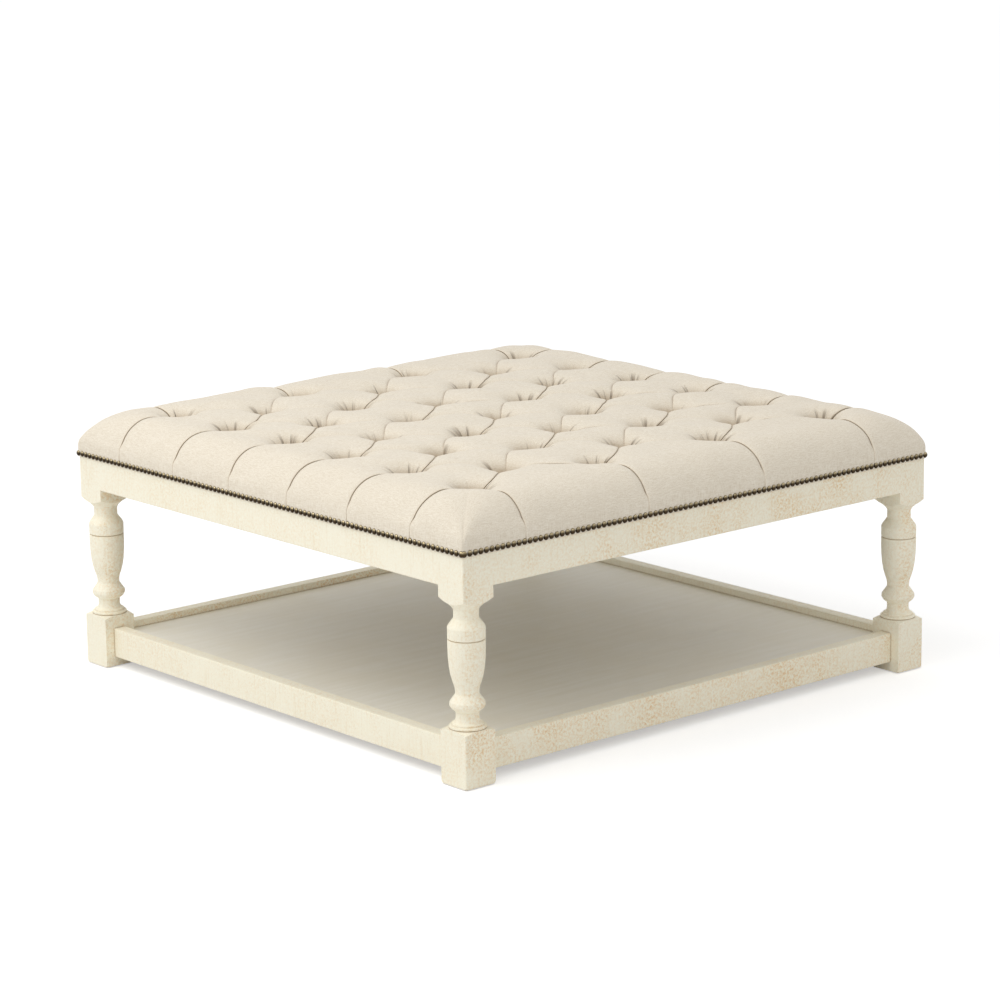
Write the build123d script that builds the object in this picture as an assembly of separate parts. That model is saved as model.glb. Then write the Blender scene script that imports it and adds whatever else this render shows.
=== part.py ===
from build123d import *
import math
import os

os.makedirs("parts", exist_ok=True)

# A square ottoman coffee table. It stands on the XY plane, centred on the Z axis, with +Z up.
# -Y is the front and -X the left side. All sizes are in millimetres.

# Whole table
table_width = 1200.0  # left to right, over the painted frame
table_depth = 1200.0  # front to back, over the painted frame
frame_height = 446.0  # floor to the top of the legs and aprons

# Shared by all joints
overrun = 5.0  # how far a cutter reaches past the face it starts from
joint_clearance = 0.1  # each side of a tenon, rail end or screw in its hole
edge_chamfer = 1.5

# Legs
leg_width = 70.0
foot_block_height = 101.0
upper_block_height = 94.5
foot_corner_cut = 2.5  # how far the turned chamfer takes the foot's four corners in
foot_corner_rise = 4.5
turning_sides = 32
curve_steps = 4  # flats along each curved stretch of the turning
glide_height = 2.0
glide_radius = 14.0
glide_sides = 12
glide_pin_width = 4.4  # its driven shank is square
glide_pin_length = 16.0

# Apron rails
apron_height = 76.0
apron_thickness = 28.0
apron_tenon_inset = 9.0
apron_tenon_thickness = 10.0
apron_tenon_length = 34.0
apron_tenon_shoulder = 12.0

# Shelf rails
rail_height = 59.5
rail_thickness = 27.5
rail_inset = 20.5  # from the leg's outer face
rail_lift = 21.0  # floor to the rail's underside
rail_tenon_thickness = 10.0
rail_tenon_length = 24.0
rail_tenon_shoulder = 9.0

# Shelf panel and what carries it
panel_thickness = 15.0
panel_drop = 14.5  # from the top edge of the shelf rails down to the panel
panel_gap = 0.5
cleat_width = 22.0
cleat_height = 22.0
bearer_width = 60.0

# Corner braces behind the legs
brace_reach = 190.0  # from the frame's outer corner, along an apron, to the brace's far edge
brace_thickness = 28.0
brace_height = 44.0
brace_drop = 14.0  # from the top of the frame down to the brace
brace_screw_seat = 12.0  # wood between a screw's head and the apron

# Deck rails under the deck board
deck_rail_spacing = 400.0
deck_rail_width = 30.0
deck_rail_height = 46.0
deck_rail_housing = 8.0  # depth of the housing in the apron

# Upholstered top
deck_thickness = 12.0
foam_thickness = 22.0
foam_border = 34.0  # from the deck's edge in to the foam pad
wadding_height = 46.0  # from the foam pad up to the crown of the tufted top
cover_thickness = 1.5  # the linen, where it lies on the frame
skirt_overlap = 14.0  # how far the cover comes down over the aprons
shoulder_rise = 70.0
shoulder_inset = 78.0
skirt_corner_radius = 3.0
crown_corner_radius = 60.0
shoulder_steps = 5

# Tufts
tuft_columns = 7  # along X; every other column, from the first on, is a long one
long_column_tufts = 6
tuft_border_x = 147.0  # from the frame's outer face to the first tuft
tuft_border_y = 145.0
pit_radius = 64.0
pit_depth = 38.0
pit_floor_radius = 12.0
pit_sides = 8
pleat_depth = 7.0
pleat_half_width = 13.0
pleat_foot_rise = 9.0  # from the bottom of the shoulder up to the foot of a side pleat
pleat_foot_depth = 3.0
button_radius = 11.0
button_crown_radius = 7.0
button_height = 6.0
button_sides = 8

# Dust cover under the frame
dust_cover_thickness = 1.0

# Screws
screw_radius = 2.4
screw_head_radius = 5.2
screw_head_height = 3.4
screw_bite = 14.0  # how far a screw goes into the apron
screw_sides = 6

# The turned outline of a leg between its two blocks, from the foot block up. Each row is one stretch:
# a line to its point, or a curve that its first point draws on the way to its second. The shares are
# of the leg's half width and of the length between the blocks.
turning_outline_shares = [
    [(0.960, 0.024)],
    [(0.994, 0.030)],
    [(0.994, 0.041)],
    [(0.850, 0.047)],
    [(0.850, 0.060)],
    [(0.660, 0.066), (0.620, 0.096)],
    [(0.620, 0.144)],
    [(1.186, 0.190), (0.786, 0.244)],
    [(0.632, 0.276)],
    [(0.608, 0.320), (0.751, 0.363)],
    [(0.990, 0.455), (0.995, 0.630)],
    [(0.995, 0.676)],
    [(0.930, 0.683)],
    [(0.995, 0.690)],
    [(0.995, 0.770)],
    [(0.945, 0.785)],
    [(0.669, 0.838)],
    [(0.669, 0.900)],
    [(0.755, 0.922)],
    [(0.986, 0.952)],
]

# Where a pit's wall steepens between its rim and its floor, in shares of its radius and depth.
pit_bend_share = 0.50
pit_bend_fall_share = 0.28


# Levels and places that follow from the sizes above
apron_bottom = frame_height - apron_height
rail_top = rail_lift + rail_height
panel_top = rail_top - panel_drop
panel_bottom = panel_top - panel_thickness
deck_top = frame_height + deck_thickness
foam_top = deck_top + foam_thickness
top_height = foam_top + wadding_height
skirt_bottom = frame_height - skirt_overlap
shoulder_bottom = top_height - shoulder_rise
pit_floor = top_height - pit_depth
brace_top = frame_height - brace_drop
brace_bottom = brace_top - brace_height
rail_inner_face = rail_inset + rail_thickness
half_leg = leg_width / 2


def block(x_low, x_high, y_low, y_high, z_low, z_high):
    """A rectangular piece between two opposite corners."""
    low_corner = (Align.MIN, Align.MIN, Align.MIN)
    return Pos(x_low, y_low, z_low) * Box(x_high - x_low, y_high - y_low, z_high - z_low, align=low_corner)


def prism(radius, sides, z_low, z_high):
    """An upright regular prism on the Z axis."""
    return Pos(0, 0, z_low) * extrude(RegularPolygon(radius, sides), z_high - z_low)


def screw(grip):
    """A screw that points down from z = 0, with its head above z = 0."""
    head = prism(screw_head_radius, screw_sides, 0, screw_head_height)
    shank = prism(screw_radius, screw_sides, -grip, 0)
    return head + shank


def screw_hole(grip, head_depth):
    """The hole for that screw, with a counterbore for its head."""
    hole = prism(screw_radius + joint_clearance, screw_sides, -grip - joint_clearance, overrun)
    counterbore = prism(screw_head_radius + joint_clearance, screw_sides, 0, head_depth)
    return hole + counterbore


def ring(radius, sides, z):
    """The corners of a level regular polygon round the Z axis."""
    turns = [2 * math.pi * number / sides for number in range(sides)]
    return [(radius * math.cos(turn), radius * math.sin(turn), z) for turn in turns]


def faceted(rings):
    """A closed solid with flat faces from each ring of corners to the next one."""
    faces = [make_face(Polyline(*corners, close=True)) for corners in (rings[0], rings[-1])]
    for low, high in zip(rings, rings[1:]):
        for number in range(len(low)):
            corners = (low[number - 1], low[number], high[number], high[number - 1])
            faces.append(make_face(Polyline(*corners, close=True)))
    return Solid(Shell(faces))


def write(shape, name):
    """Each piece is one file, named after its node."""
    shape.label = name
    export_step(shape, f"parts/{name}.step")


def group(shapes):
    """Identical loose fasteners in one node."""
    return Compound(children=list(shapes))


# Sides and corners: a side's own frame has x along the side, y inwards from the outer face and z up.
# A corner's own frame has its origin on the leg's axis, with x and y towards the two neighbouring legs.
sides = {
    "front": (Pos(0, -table_depth / 2, 0), table_width),
    "right": (Pos(table_width / 2, 0, 0) * Rot(0, 0, 90), table_depth),
    "back": (Pos(0, table_depth / 2, 0) * Rot(0, 0, 180), table_width),
    "left": (Pos(-table_width / 2, 0, 0) * Rot(0, 0, 270), table_depth),
}
corners = {
    "front_left": Pos(-table_width / 2 + half_leg, -table_depth / 2 + half_leg, 0),
    "front_right": Pos(table_width / 2 - half_leg, -table_depth / 2 + half_leg, 0) * Rot(0, 0, 90),
    "back_right": Pos(table_width / 2 - half_leg, table_depth / 2 - half_leg, 0) * Rot(0, 0, 180),
    "back_left": Pos(-table_width / 2 + half_leg, table_depth / 2 - half_leg, 0) * Rot(0, 0, 270),
}


def mortises(inset, thickness, length, z_low, z_high):
    """A leg's two mortises at one level, in its corner's frame: one towards +X and one towards +Y."""
    near_side = -half_leg + inset - joint_clearance
    far_side = -half_leg + inset + thickness + joint_clearance
    bottom = half_leg - length - joint_clearance
    mouth = half_leg + overrun
    low = z_low - joint_clearance
    high = z_high + joint_clearance
    towards_x = block(bottom, mouth, near_side, far_side, low, high)
    towards_y = block(near_side, far_side, bottom, mouth, low, high)
    return [towards_x, towards_y]


def turned_outline():
    """The outline from the floor up, as (radius, height). At the square blocks it runs outside them."""
    corner_radius = half_leg * math.sqrt(2)
    outside = corner_radius + overrun
    turned_bottom = foot_block_height
    turned_top = frame_height - upper_block_height
    corner_slope = foot_corner_rise / foot_corner_cut
    outline = [
        (corner_radius - foot_corner_cut, glide_height),
        (outside, glide_height + (foot_corner_cut + overrun) * corner_slope),
        (outside, turned_bottom),
    ]
    for row in turning_outline_shares:
        points = [(r * half_leg, turned_bottom + z * (turned_top - turned_bottom)) for r, z in row]
        if len(points) == 1:
            outline.append(points[0])
        else:
            outline.extend(curve(outline[-1], *points))
    return [*outline, (outside, turned_top), (outside, frame_height)]


def curve(start, control, end):
    """Points on the curve that its control point draws between two points, without the first."""
    points = []
    for number in range(1, curve_steps + 1):
        share = number / curve_steps
        weights = ((1 - share) ** 2, 2 * share * (1 - share), share**2)
        axes = zip(start, control, end)
        points.append(tuple(sum(w * p for w, p in zip(weights, values)) for values in axes))
    return points


def glide_pin(clearance):
    """The pin of a glide, or with a clearance the hole for it."""
    half_pin = glide_pin_width / 2 + clearance
    pin_top = glide_height + glide_pin_length + clearance
    return block(-half_pin, half_pin, -half_pin, half_pin, glide_height, pin_top)


def leg():
    """A square blank, turned between its blocks, so that the lathe's shoulders meet the flats in arches."""
    blank = block(-half_leg, half_leg, -half_leg, half_leg, glide_height, frame_height)
    outer_arris = blank.edges().filter_by(Axis.Z).sort_by(Axis((0, 0, 0), (1, 1, 0)))[0]
    blank = chamfer(outer_arris, edge_chamfer)
    turned = blank & faceted([ring(radius, turning_sides, z) for radius, z in turned_outline()])
    apron_mortises = mortises(
        apron_tenon_inset,
        apron_tenon_thickness,
        apron_tenon_length,
        apron_bottom + apron_tenon_shoulder,
        frame_height - apron_tenon_shoulder,
    )
    rail_mortises = mortises(
        rail_inset + (rail_thickness - rail_tenon_thickness) / 2,
        rail_tenon_thickness,
        rail_tenon_length,
        rail_lift + rail_tenon_shoulder,
        rail_top - rail_tenon_shoulder,
    )
    return turned - [*apron_mortises, *rail_mortises, glide_pin(joint_clearance)]


def glide():
    """A nylon glide with its square pin, driven up into the foot."""
    return prism(glide_radius, glide_sides, 0, glide_height) + glide_pin(0)


def deck_rail_places():
    """Where the two deck rails cross the front and back aprons."""
    return [-deck_rail_spacing / 2, deck_rail_spacing / 2]


def apron(length, housed):
    """An apron rail in its side's frame, tenoned at both ends. A housed one carries the deck rails."""
    shoulder = length / 2 - leg_width
    body = block(-shoulder, shoulder, 0, apron_thickness, apron_bottom, frame_height)
    body = chamfer(body.edges().filter_by(Axis.X).sort_by(Axis.Z)[:2], edge_chamfer)
    tenons = block(
        -shoulder - apron_tenon_length,
        shoulder + apron_tenon_length,
        apron_tenon_inset,
        apron_tenon_inset + apron_tenon_thickness,
        apron_bottom + apron_tenon_shoulder,
        frame_height - apron_tenon_shoulder,
    )
    piece = body + tenons
    if housed:
        half_slot = deck_rail_width / 2 + joint_clearance
        slot_back = apron_thickness - deck_rail_housing - joint_clearance
        slot_bottom = frame_height - deck_rail_height - joint_clearance
        for x in deck_rail_places():
            piece -= block(
                x - half_slot,
                x + half_slot,
                slot_back,
                apron_thickness + overrun,
                slot_bottom,
                frame_height + overrun,
            )
    return piece


def shelf_rail(length):
    """A shelf rail in its side's frame, with its long top edges eased and a tenon at both ends."""
    shoulder = length / 2 - leg_width
    body = block(-shoulder, shoulder, rail_inset, rail_inner_face, rail_lift, rail_top)
    body = chamfer(body.edges().filter_by(Axis.X), edge_chamfer)
    tenon_inset = rail_inset + (rail_thickness - rail_tenon_thickness) / 2
    tenons = block(
        -shoulder - rail_tenon_length,
        shoulder + rail_tenon_length,
        tenon_inset,
        tenon_inset + rail_tenon_thickness,
        rail_lift + rail_tenon_shoulder,
        rail_top - rail_tenon_shoulder,
    )
    return body + tenons


def shelf_panel():
    """The shelf, notched round the four foot blocks."""
    half_width = table_width / 2 - rail_inner_face - panel_gap
    half_depth = table_depth / 2 - rail_inner_face - panel_gap
    panel = block(-half_width, half_width, -half_depth, half_depth, panel_bottom, panel_top)
    notch_reach = half_leg + panel_gap
    notch_bottom = panel_bottom - overrun
    notch_top = panel_top + overrun
    notch = block(-notch_reach, notch_reach, -notch_reach, notch_reach, notch_bottom, notch_top)
    return panel - [place * notch for place in corners.values()]


def cleat(length):
    """A strip on the inner face of a shelf rail, under the panel, in its side's frame."""
    half_length = length / 2 - leg_width - panel_gap
    return block(
        -half_length,
        half_length,
        rail_inner_face,
        rail_inner_face + cleat_width,
        panel_bottom - cleat_height,
        panel_bottom,
    )


def shelf_bearer():
    """The bearer under the middle of the shelf, between the front and back cleats."""
    half_length = table_depth / 2 - rail_inner_face - cleat_width
    half_width = bearer_width / 2
    bottom = panel_bottom - cleat_height
    return block(-half_width, half_width, -half_length, half_length, bottom, panel_bottom)


def brace():
    """A diagonal brace behind a leg, in its corner's frame, its ends flat on the two aprons."""
    against = apron_thickness - half_leg
    far = brace_reach - half_leg
    near = far - brace_thickness * math.sqrt(2)
    outline = Polyline((against, near), (against, far), (far, against), (near, against), close=True)
    return Pos(0, 0, brace_bottom) * extrude(make_face(outline), brace_height)


def brace_screw_places():
    """The seats of the braces' screws, one through each end of each brace."""
    along = brace_reach - half_leg - brace_thickness * math.sqrt(2) / 2
    seat = apron_thickness - half_leg + brace_screw_seat
    middle = (brace_bottom + brace_top) / 2
    places = []
    for corner in corners.values():
        places.append(corner * Pos(along, seat, middle) * Rot(-90, 0, 0))
        places.append(corner * Pos(seat, along, middle) * Rot(0, 90, 0))
    return places


def deck_rail(x):
    """A rail under the deck, housed at both ends in the front and back aprons."""
    half_length = table_depth / 2 - apron_thickness + deck_rail_housing
    half_width = deck_rail_width / 2
    bottom = frame_height - deck_rail_height
    return block(x - half_width, x + half_width, -half_length, half_length, bottom, frame_height)


def deck_board():
    """The board on top of the frame."""
    half_width = table_width / 2
    half_depth = table_depth / 2
    return block(-half_width, half_width, -half_depth, half_depth, frame_height, deck_top)


def foam_pad():
    """The firm pad on the deck."""
    half_width = table_width / 2 - foam_border
    half_depth = table_depth / 2 - foam_border
    return block(-half_width, half_width, -half_depth, half_depth, deck_top, foam_top)


def dust_cover():
    """A thin cloth stretched under the corner braces, between the aprons and round the legs."""
    half_width = table_width / 2 - apron_thickness
    half_depth = table_depth / 2 - apron_thickness
    bottom = brace_bottom - dust_cover_thickness
    sheet = block(-half_width, half_width, -half_depth, half_depth, bottom, brace_bottom)
    notch = block(-half_leg, half_leg, -half_leg, half_leg, bottom - overrun, brace_bottom + overrun)
    return sheet - [place * notch for place in corners.values()]


def column_tufts(column):
    """The Y places of the tufts in one column, by their number; odd columns lie half a pitch in."""
    first = column % 2
    half_pitch = (table_depth - 2 * tuft_border_y) / (long_column_tufts - 1) / 2
    steps = range(first, 2 * long_column_tufts - 1 - first, 2)
    return {step: (step - long_column_tufts + 1) * half_pitch for step in steps}


def tufts():
    """Every tuft's place, by its column and its half-pitch step along Y."""
    pitch = (table_width - 2 * tuft_border_x) / (tuft_columns - 1)
    places = {}
    for column in range(tuft_columns):
        x = (column - (tuft_columns - 1) / 2) * pitch
        for step, y in column_tufts(column).items():
            places[column, step] = (x, y)
    return places


def pit():
    """The cutter of one tuft, a funnel that steepens towards its floor."""
    bend_radius = pit_bend_share * pit_radius
    bend_fall = pit_bend_fall_share * pit_depth
    mouth_radius = pit_radius + overrun * (pit_radius - bend_radius) / bend_fall
    floor = ring(pit_floor_radius, pit_sides, pit_floor)
    bend = ring(bend_radius, pit_sides, top_height - bend_fall)
    mouth = ring(mouth_radius, pit_sides, top_height + overrun)
    return faceted([floor, bend, mouth])


def pleat_section(point, outwards, sideways, depth):
    """The V of a pleat at a point of the surface, open towards outwards and as wide as sideways says."""
    widen = (depth + overrun) / depth
    apex = point - outwards * depth
    wing = sideways * pleat_half_width * widen
    lip = point + outwards * overrun
    return make_face(Polyline(apex, lip + wing, lip - wing, close=True))


def lattice_pleats():
    """The pleats that join the tufts along both diagonals."""
    places = tufts()
    up = Vector(0, 0, 1)
    cutters = []
    for turn in (1, -1):
        for (column, step), start in places.items():
            if (column - 1, step - turn) in places:
                continue
            count = 0
            while (column + count + 1, step + turn * (count + 1)) in places:
                count += 1
            if count:
                first = Vector(*start, top_height)
                last = Vector(*places[column + count, step + turn * count], top_height)
                sideways = (last - first).normalized().cross(up)
                ends = [pleat_section(point, up, sideways, pleat_depth) for point in (first, last)]
                cutters.append(loft(ends, ruled=True))
    return cutters


def shoulder_profile(angle):
    """The shoulder's inset, its height and its outward direction, at an angle from its foot."""
    inset = shoulder_inset * (1 - math.cos(angle))
    level = shoulder_bottom + shoulder_rise * math.sin(angle)
    outwards = Vector(0, -shoulder_rise * math.cos(angle), shoulder_inset * math.sin(angle)).normalized()
    return inset, level, outwards


def side_pleat(border):
    """A pleat from an outer tuft straight down the side, in its side's frame at x = 0."""
    sideways = Vector(1, 0, 0)
    foot_angle = math.asin(pleat_foot_rise / shoulder_rise)
    sections = [pleat_section(Vector(0, border, top_height), Vector(0, 0, 1), sideways, pleat_depth)]
    for number in range(shoulder_steps + 1):
        share = number / shoulder_steps
        angle = math.pi / 2 * (1 - share) + foot_angle * share
        inset, level, outwards = shoulder_profile(angle)
        depth = pleat_depth * (1 - share) + pleat_foot_depth * share
        sections.append(pleat_section(Vector(0, inset, level), outwards, sideways, depth))
    return loft(sections, ruled=True)


def side_pleats():
    """All the straight pleats, from the outer tufts down the four sides."""
    places = tufts()
    last_column = tuft_columns - 1
    last_step = 2 * (long_column_tufts - 1)
    cutters = []
    for (column, step), (x, y) in places.items():
        if step == 0:
            cutters.append(Pos(x, -table_depth / 2, 0) * side_pleat(tuft_border_y))
        if step == last_step:
            cutters.append(Pos(x, table_depth / 2, 0) * Rot(0, 0, 180) * side_pleat(tuft_border_y))
        if column == 0:
            cutters.append(Pos(-table_width / 2, y, 0) * Rot(0, 0, 270) * side_pleat(tuft_border_x))
        if column == last_column:
            cutters.append(Pos(table_width / 2, y, 0) * Rot(0, 0, 90) * side_pleat(tuft_border_x))
    return cutters


def plan(inset, radius):
    """The rounded outline of the covered top, taken in by inset from its outer faces."""
    return RectangleRounded(
        table_width + 2 * (cover_thickness - inset), table_depth + 2 * (cover_thickness - inset), radius
    )


def tufted_cover():
    """The linen and its wadding: a skirt on the frame, a shoulder, a crown, and its tufts and pleats."""
    skirt = extrude(Pos(0, 0, skirt_bottom) * plan(0, skirt_corner_radius), shoulder_bottom - skirt_bottom)
    sections = []
    for number in range(shoulder_steps + 1):
        share = number / shoulder_steps
        inset, level, _ = shoulder_profile(math.pi / 2 * share)
        radius = skirt_corner_radius * (1 - share) + crown_corner_radius * share
        sections.append(Pos(0, 0, level) * plan(inset, radius))
    form = skirt + [loft(pair, ruled=True) for pair in zip(sections, sections[1:])]
    pits = [Pos(x, y, 0) * pit() for x, y in tufts().values()]
    form = form - [*pits, *lattice_pleats(), *side_pleats()]
    half_width = table_width / 2
    half_depth = table_depth / 2
    frame_space = block(-half_width, half_width, -half_depth, half_depth, skirt_bottom - overrun, deck_top)
    return form - [frame_space, foam_pad()]


def button():
    """A covered button on the floor of its pit, narrower at its crown."""
    foot = ring(button_radius, button_sides, pit_floor)
    crown = ring(button_crown_radius, button_sides, pit_floor + button_height)
    return faceted([foot, crown])


screw_grip = brace_screw_seat + screw_bite
screw_places = brace_screw_places()
screw_holes = [place * screw_hole(screw_grip, brace_thickness) for place in screw_places]

one_leg = leg()
for name, corner in corners.items():
    write(corner * one_leg, f"leg_{name}")
    write(corner * brace() - screw_holes, f"corner_brace_{name}")
for name, (side, length) in sides.items():
    housed = name in ("front", "back")
    write(side * apron(length, housed) - screw_holes, f"apron_{name}")
    write(side * shelf_rail(length), f"shelf_rail_{name}")
    write(side * cleat(length), f"shelf_cleat_{name}")
for name, x in zip(("left", "right"), deck_rail_places()):
    write(deck_rail(x), f"deck_rail_{name}")
write(shelf_panel(), "shelf_panel")
write(shelf_bearer(), "shelf_bearer")
write(deck_board(), "deck_board")
write(foam_pad(), "foam_pad")
write(tufted_cover(), "tufted_cover")
write(dust_cover(), "dust_cover")
write(group(Pos(x, y, 0) * button() for x, y in tufts().values()), "tuft_buttons")
write(group(corner * glide() for corner in corners.values()), "foot_glides")
write(group(place * screw(screw_grip) for place in screw_places), "brace_screws")
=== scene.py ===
import bmesh
import bpy
import math
import numpy as np
from mathutils import Matrix, Vector


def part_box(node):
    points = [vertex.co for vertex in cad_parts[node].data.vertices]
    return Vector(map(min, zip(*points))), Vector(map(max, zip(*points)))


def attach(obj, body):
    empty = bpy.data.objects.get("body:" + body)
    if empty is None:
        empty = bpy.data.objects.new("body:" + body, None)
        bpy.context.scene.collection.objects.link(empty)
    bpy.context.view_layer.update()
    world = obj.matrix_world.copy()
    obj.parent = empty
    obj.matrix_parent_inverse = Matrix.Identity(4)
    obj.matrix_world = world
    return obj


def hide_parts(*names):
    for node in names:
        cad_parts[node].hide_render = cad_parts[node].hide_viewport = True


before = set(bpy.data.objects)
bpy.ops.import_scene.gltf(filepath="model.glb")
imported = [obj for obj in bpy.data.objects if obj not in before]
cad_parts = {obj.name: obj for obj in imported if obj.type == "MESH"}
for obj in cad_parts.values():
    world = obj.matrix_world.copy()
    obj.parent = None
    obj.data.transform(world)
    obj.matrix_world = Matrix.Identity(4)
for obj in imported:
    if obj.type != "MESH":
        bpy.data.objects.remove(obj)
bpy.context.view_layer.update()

# The table stands on the XY plane, centred on the Z axis. -Y is its front and -X its left side.
# All sizes are in metres.

# Places that the frame gives
cover_low, cover_high = (np.array(corner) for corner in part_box("tufted_cover"))
leg_low, leg_high = (np.array(corner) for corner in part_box("leg_front_left"))
deck_high = np.array(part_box("deck_board")[1])
dust_high = np.array(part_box("dust_cover")[1])
leg_width = leg_high[0] - leg_low[0]

# Tufts: a diamond pattern in seven columns along X and eleven half steps along Y
tuft_columns = 7
tuft_steps = 11
base_x = 0.453  # from the middle to the outermost tufts
base_y = 0.455
pitch_x = 2 * base_x / (tuft_columns - 1)
pitch_y = 2 * base_y / (tuft_steps - 1)

# Outer form of the tufted top
top = cover_high[2]
skirt_bottom = cover_low[2]
half_x = cover_high[0]
half_y = cover_high[1]
shoulder_rise = 0.070
shoulder_inset = 0.078
skirt_corner_radius = 0.0025
corner_narrowing = 1.25  # the power by which a corner's radius falls on its way down the shoulder
foot_lift = 0.0013  # how far the linen stands off the frame beside the foot of a side pleat
foot_lift_reach = 0.010
skirt_lift = 0.0009  # how far it stands off everywhere else at the foot
lining_gap = 0.0003  # between the cover's lining and the edge of the deck
lining_rise = 0.0004  # of the lining over the deck

# Pits, the wide basins round them, and the saddles along the folds
pit_depth = 0.0350
pit_floor_radius = 0.008
pit_reach = 0.0200
pit_power = 1.45
basin_depth = 0.0080
basin_reach = 0.042
saddle_dip = 0.0034
saddle_reach = 0.026
saddle_power = 1.3
saddle_least_share = 0.3  # of a saddle's dip that is left at the foot of a side pleat
unevenness_share = 0.05  # by which the pits differ in depth and in width

# Places on a side pleat, as shares of its length from the crest to its foot
shoulder_end_share = 0.8
saddle_end_shares = (0.05, 0.80)  # where a saddle starts to fade and where it has faded
foot_shares = (0.60, 0.74)  # where a fold starts to turn into the pleat's foot and where it has
fold_end_shares = (0.90, 0.98)
lift_end_shares = (0.88, 0.96)
tuck_top_share = 0.66  # where the tuck on a corner's edge starts
foot_slack_share = 0.48  # of a fold's depth that is lost at the foot
lift_slack_share = 0.7  # of the lift that is lost at the very end

# Folds
lean = 0.020  # how far a fold leans over the pillow below it, midway between its tufts
lean_start_narrow = 0.052  # how far from a tuft it leans fully, where the pillow below has a narrow corner
lean_start_wide = 0.110
lean_power = 1.4  # the power by which the lean fades across a pillow
fold_start = (0.006, 0.024)  # how far from a tuft a fold starts, and where it is whole
side_lean_end = 0.068  # how far down the side a lean reaches
side_lean_power = 1.5
tuck_fade = 0.05  # what a whole pleat's length above the tuck's top adds to the distance from the tuck

# A fold's section on the pillow that lies over and on the one that lies under, as distance from the fold,
# depth below the surface, and slide towards the pillow below
fold_over = np.array([
    (0.0000, 0.0044, -0.0010),
    (0.0010, 0.0022, 0.0013),
    (0.0023, 0.0012, 0.0009),
    (0.0042, 0.0006, 0.0004),
    (0.0070, 0.0002, 0.0000),
    (0.0120, 0.0000, 0.0000),
])
fold_under = np.array([
    (0.0000, 0.0044, -0.0010),
    (0.0010, 0.0036, 0.0003),
    (0.0023, 0.0029, 0.0000),
    (0.0042, 0.0022, 0.0000),
    (0.0070, 0.0015, 0.0000),
    (0.0120, 0.0007, 0.0000),
    (0.0180, 0.0003, 0.0000),
    (0.0280, 0.0000, 0.0000),
])

# How far the mesh's lines lie from a fold, in metres, up to the middle of a pillow
line_distances = np.array([0, 1, 2.3, 4.2, 7, 10, 14, 18, 22, 26, 30, 34, 38, 43, 49, 56, 64, 71]) / 1000
line_power = 3  # the power by which the lines spread where a pillow is wider
line_blend = 0.03  # how far from the outermost tufts the lines come to run straight down the side
corner_shares = np.array([0.56, 0.31, 0.19, 0.115, 0.058])  # extra lines towards the middle of a corner

# Rings of the mesh from the outermost tufts outwards: over the flat crest, the shoulder and the skirt
crest_shares = np.array([0, 1.2, 3, 6, 10, 14, 18, 22, 27, 32, 38, 45, 53, 61]) / 68.5
shoulder_rings = 20
skirt_rings = 5

# How dark the painted shade is in a pit, and along the wrinkles in it
pit_shade = 0.85
pit_shade_power = 0.8
wrinkle_shade = 0.6
wrinkle_shade_power = 0.5

# Wrinkles in the pits, and the unevenness of the wadding as waves of (length, height)
seed = 7  # of all random draws
wrinkle_count = 8
wrinkle_depth = 0.0020
wrinkle_widths = (0.0014, 0.0026)
wrinkle_lengths = (0.024, 0.048)
wrinkle_strengths = (0.2, 1.0)
wrinkle_start = 0.014
wrinkle_turn = 1.2  # the widest angle from its own direction at which a wrinkle shows
waves = ((0.16, 0.0006), (0.11, 0.0005), (0.075, 0.0003), (0.048, 0.00016))
waves_each = 3

# Covered buttons: a section as (radius, rise), from the seat up
button_section = [
    (0.0105, 0.0000), (0.0112, 0.0016), (0.0108, 0.0034),
    (0.0090, 0.0056), (0.0060, 0.0072), (0.0028, 0.0079),
]
button_crown = 0.0081
button_sides = 20
button_sink = 0.001

# Dust cover
dust_lines = 41  # of the mesh, each way, between the notches
dust_sag = 0.005
dust_gap = 0.0006

# Cleat screws: a head's section as (radius, rise), and places along a cleat from its middle
screw_section = [(0.0044, 0.0), (0.0044, 0.0006), (0.0038, 0.0010), (0.0016, 0.0010), (0.0012, 0.0001)]
screw_sides = 16
screw_places = (-0.4284, -0.2550, -0.0816, 0.0816, 0.2550, 0.4284)

# Nails: a dome's section as shares of its radius and crown
nail_spacing = 0.01275
nail_radius = 0.0060
nail_crown = 0.0046
nail_height = 0.4382
nail_sides = 16
nail_shares = [(0.94, 0.0), (1.0, 0.12), (0.95, 0.38), (0.82, 0.64), (0.58, 0.86), (0.30, 0.97)]

# Light, floor and camera
surround_level = 0.70  # as a light, against 1 where the camera sees it
key_power = 44  # in watts
key_size = 3.0
key_place = (-2.1, 0.3, 3.0)
key_aim = (0, 0, 0.4)
floor_half = 30.0
floor_grey = 0.86
floor_glow = 0.42  # added where the camera sees the floor
camera_azimuth = math.radians(-40.619)
camera_elevation = math.radians(12.8688)
camera_roll = math.radians(-0.7858)
camera_distance = 7.0874
camera_aside = 0.0024
camera_rise = 0.3343
camera_lens = 125.724  # in millimetres, as the sensor's width is
camera_sensor = 36
camera_clip = 100


def srgb(red, green, blue):
    """A colour written as it looks on a screen, from 0 to 255, in the shader's linear numbers."""
    colour = [value / 255 for value in (red, green, blue)]
    linear = [value / 12.92 if value <= 0.04045 else ((value + 0.055) / 1.055) ** 2.4 for value in colour]
    return (*linear, 1)


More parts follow.
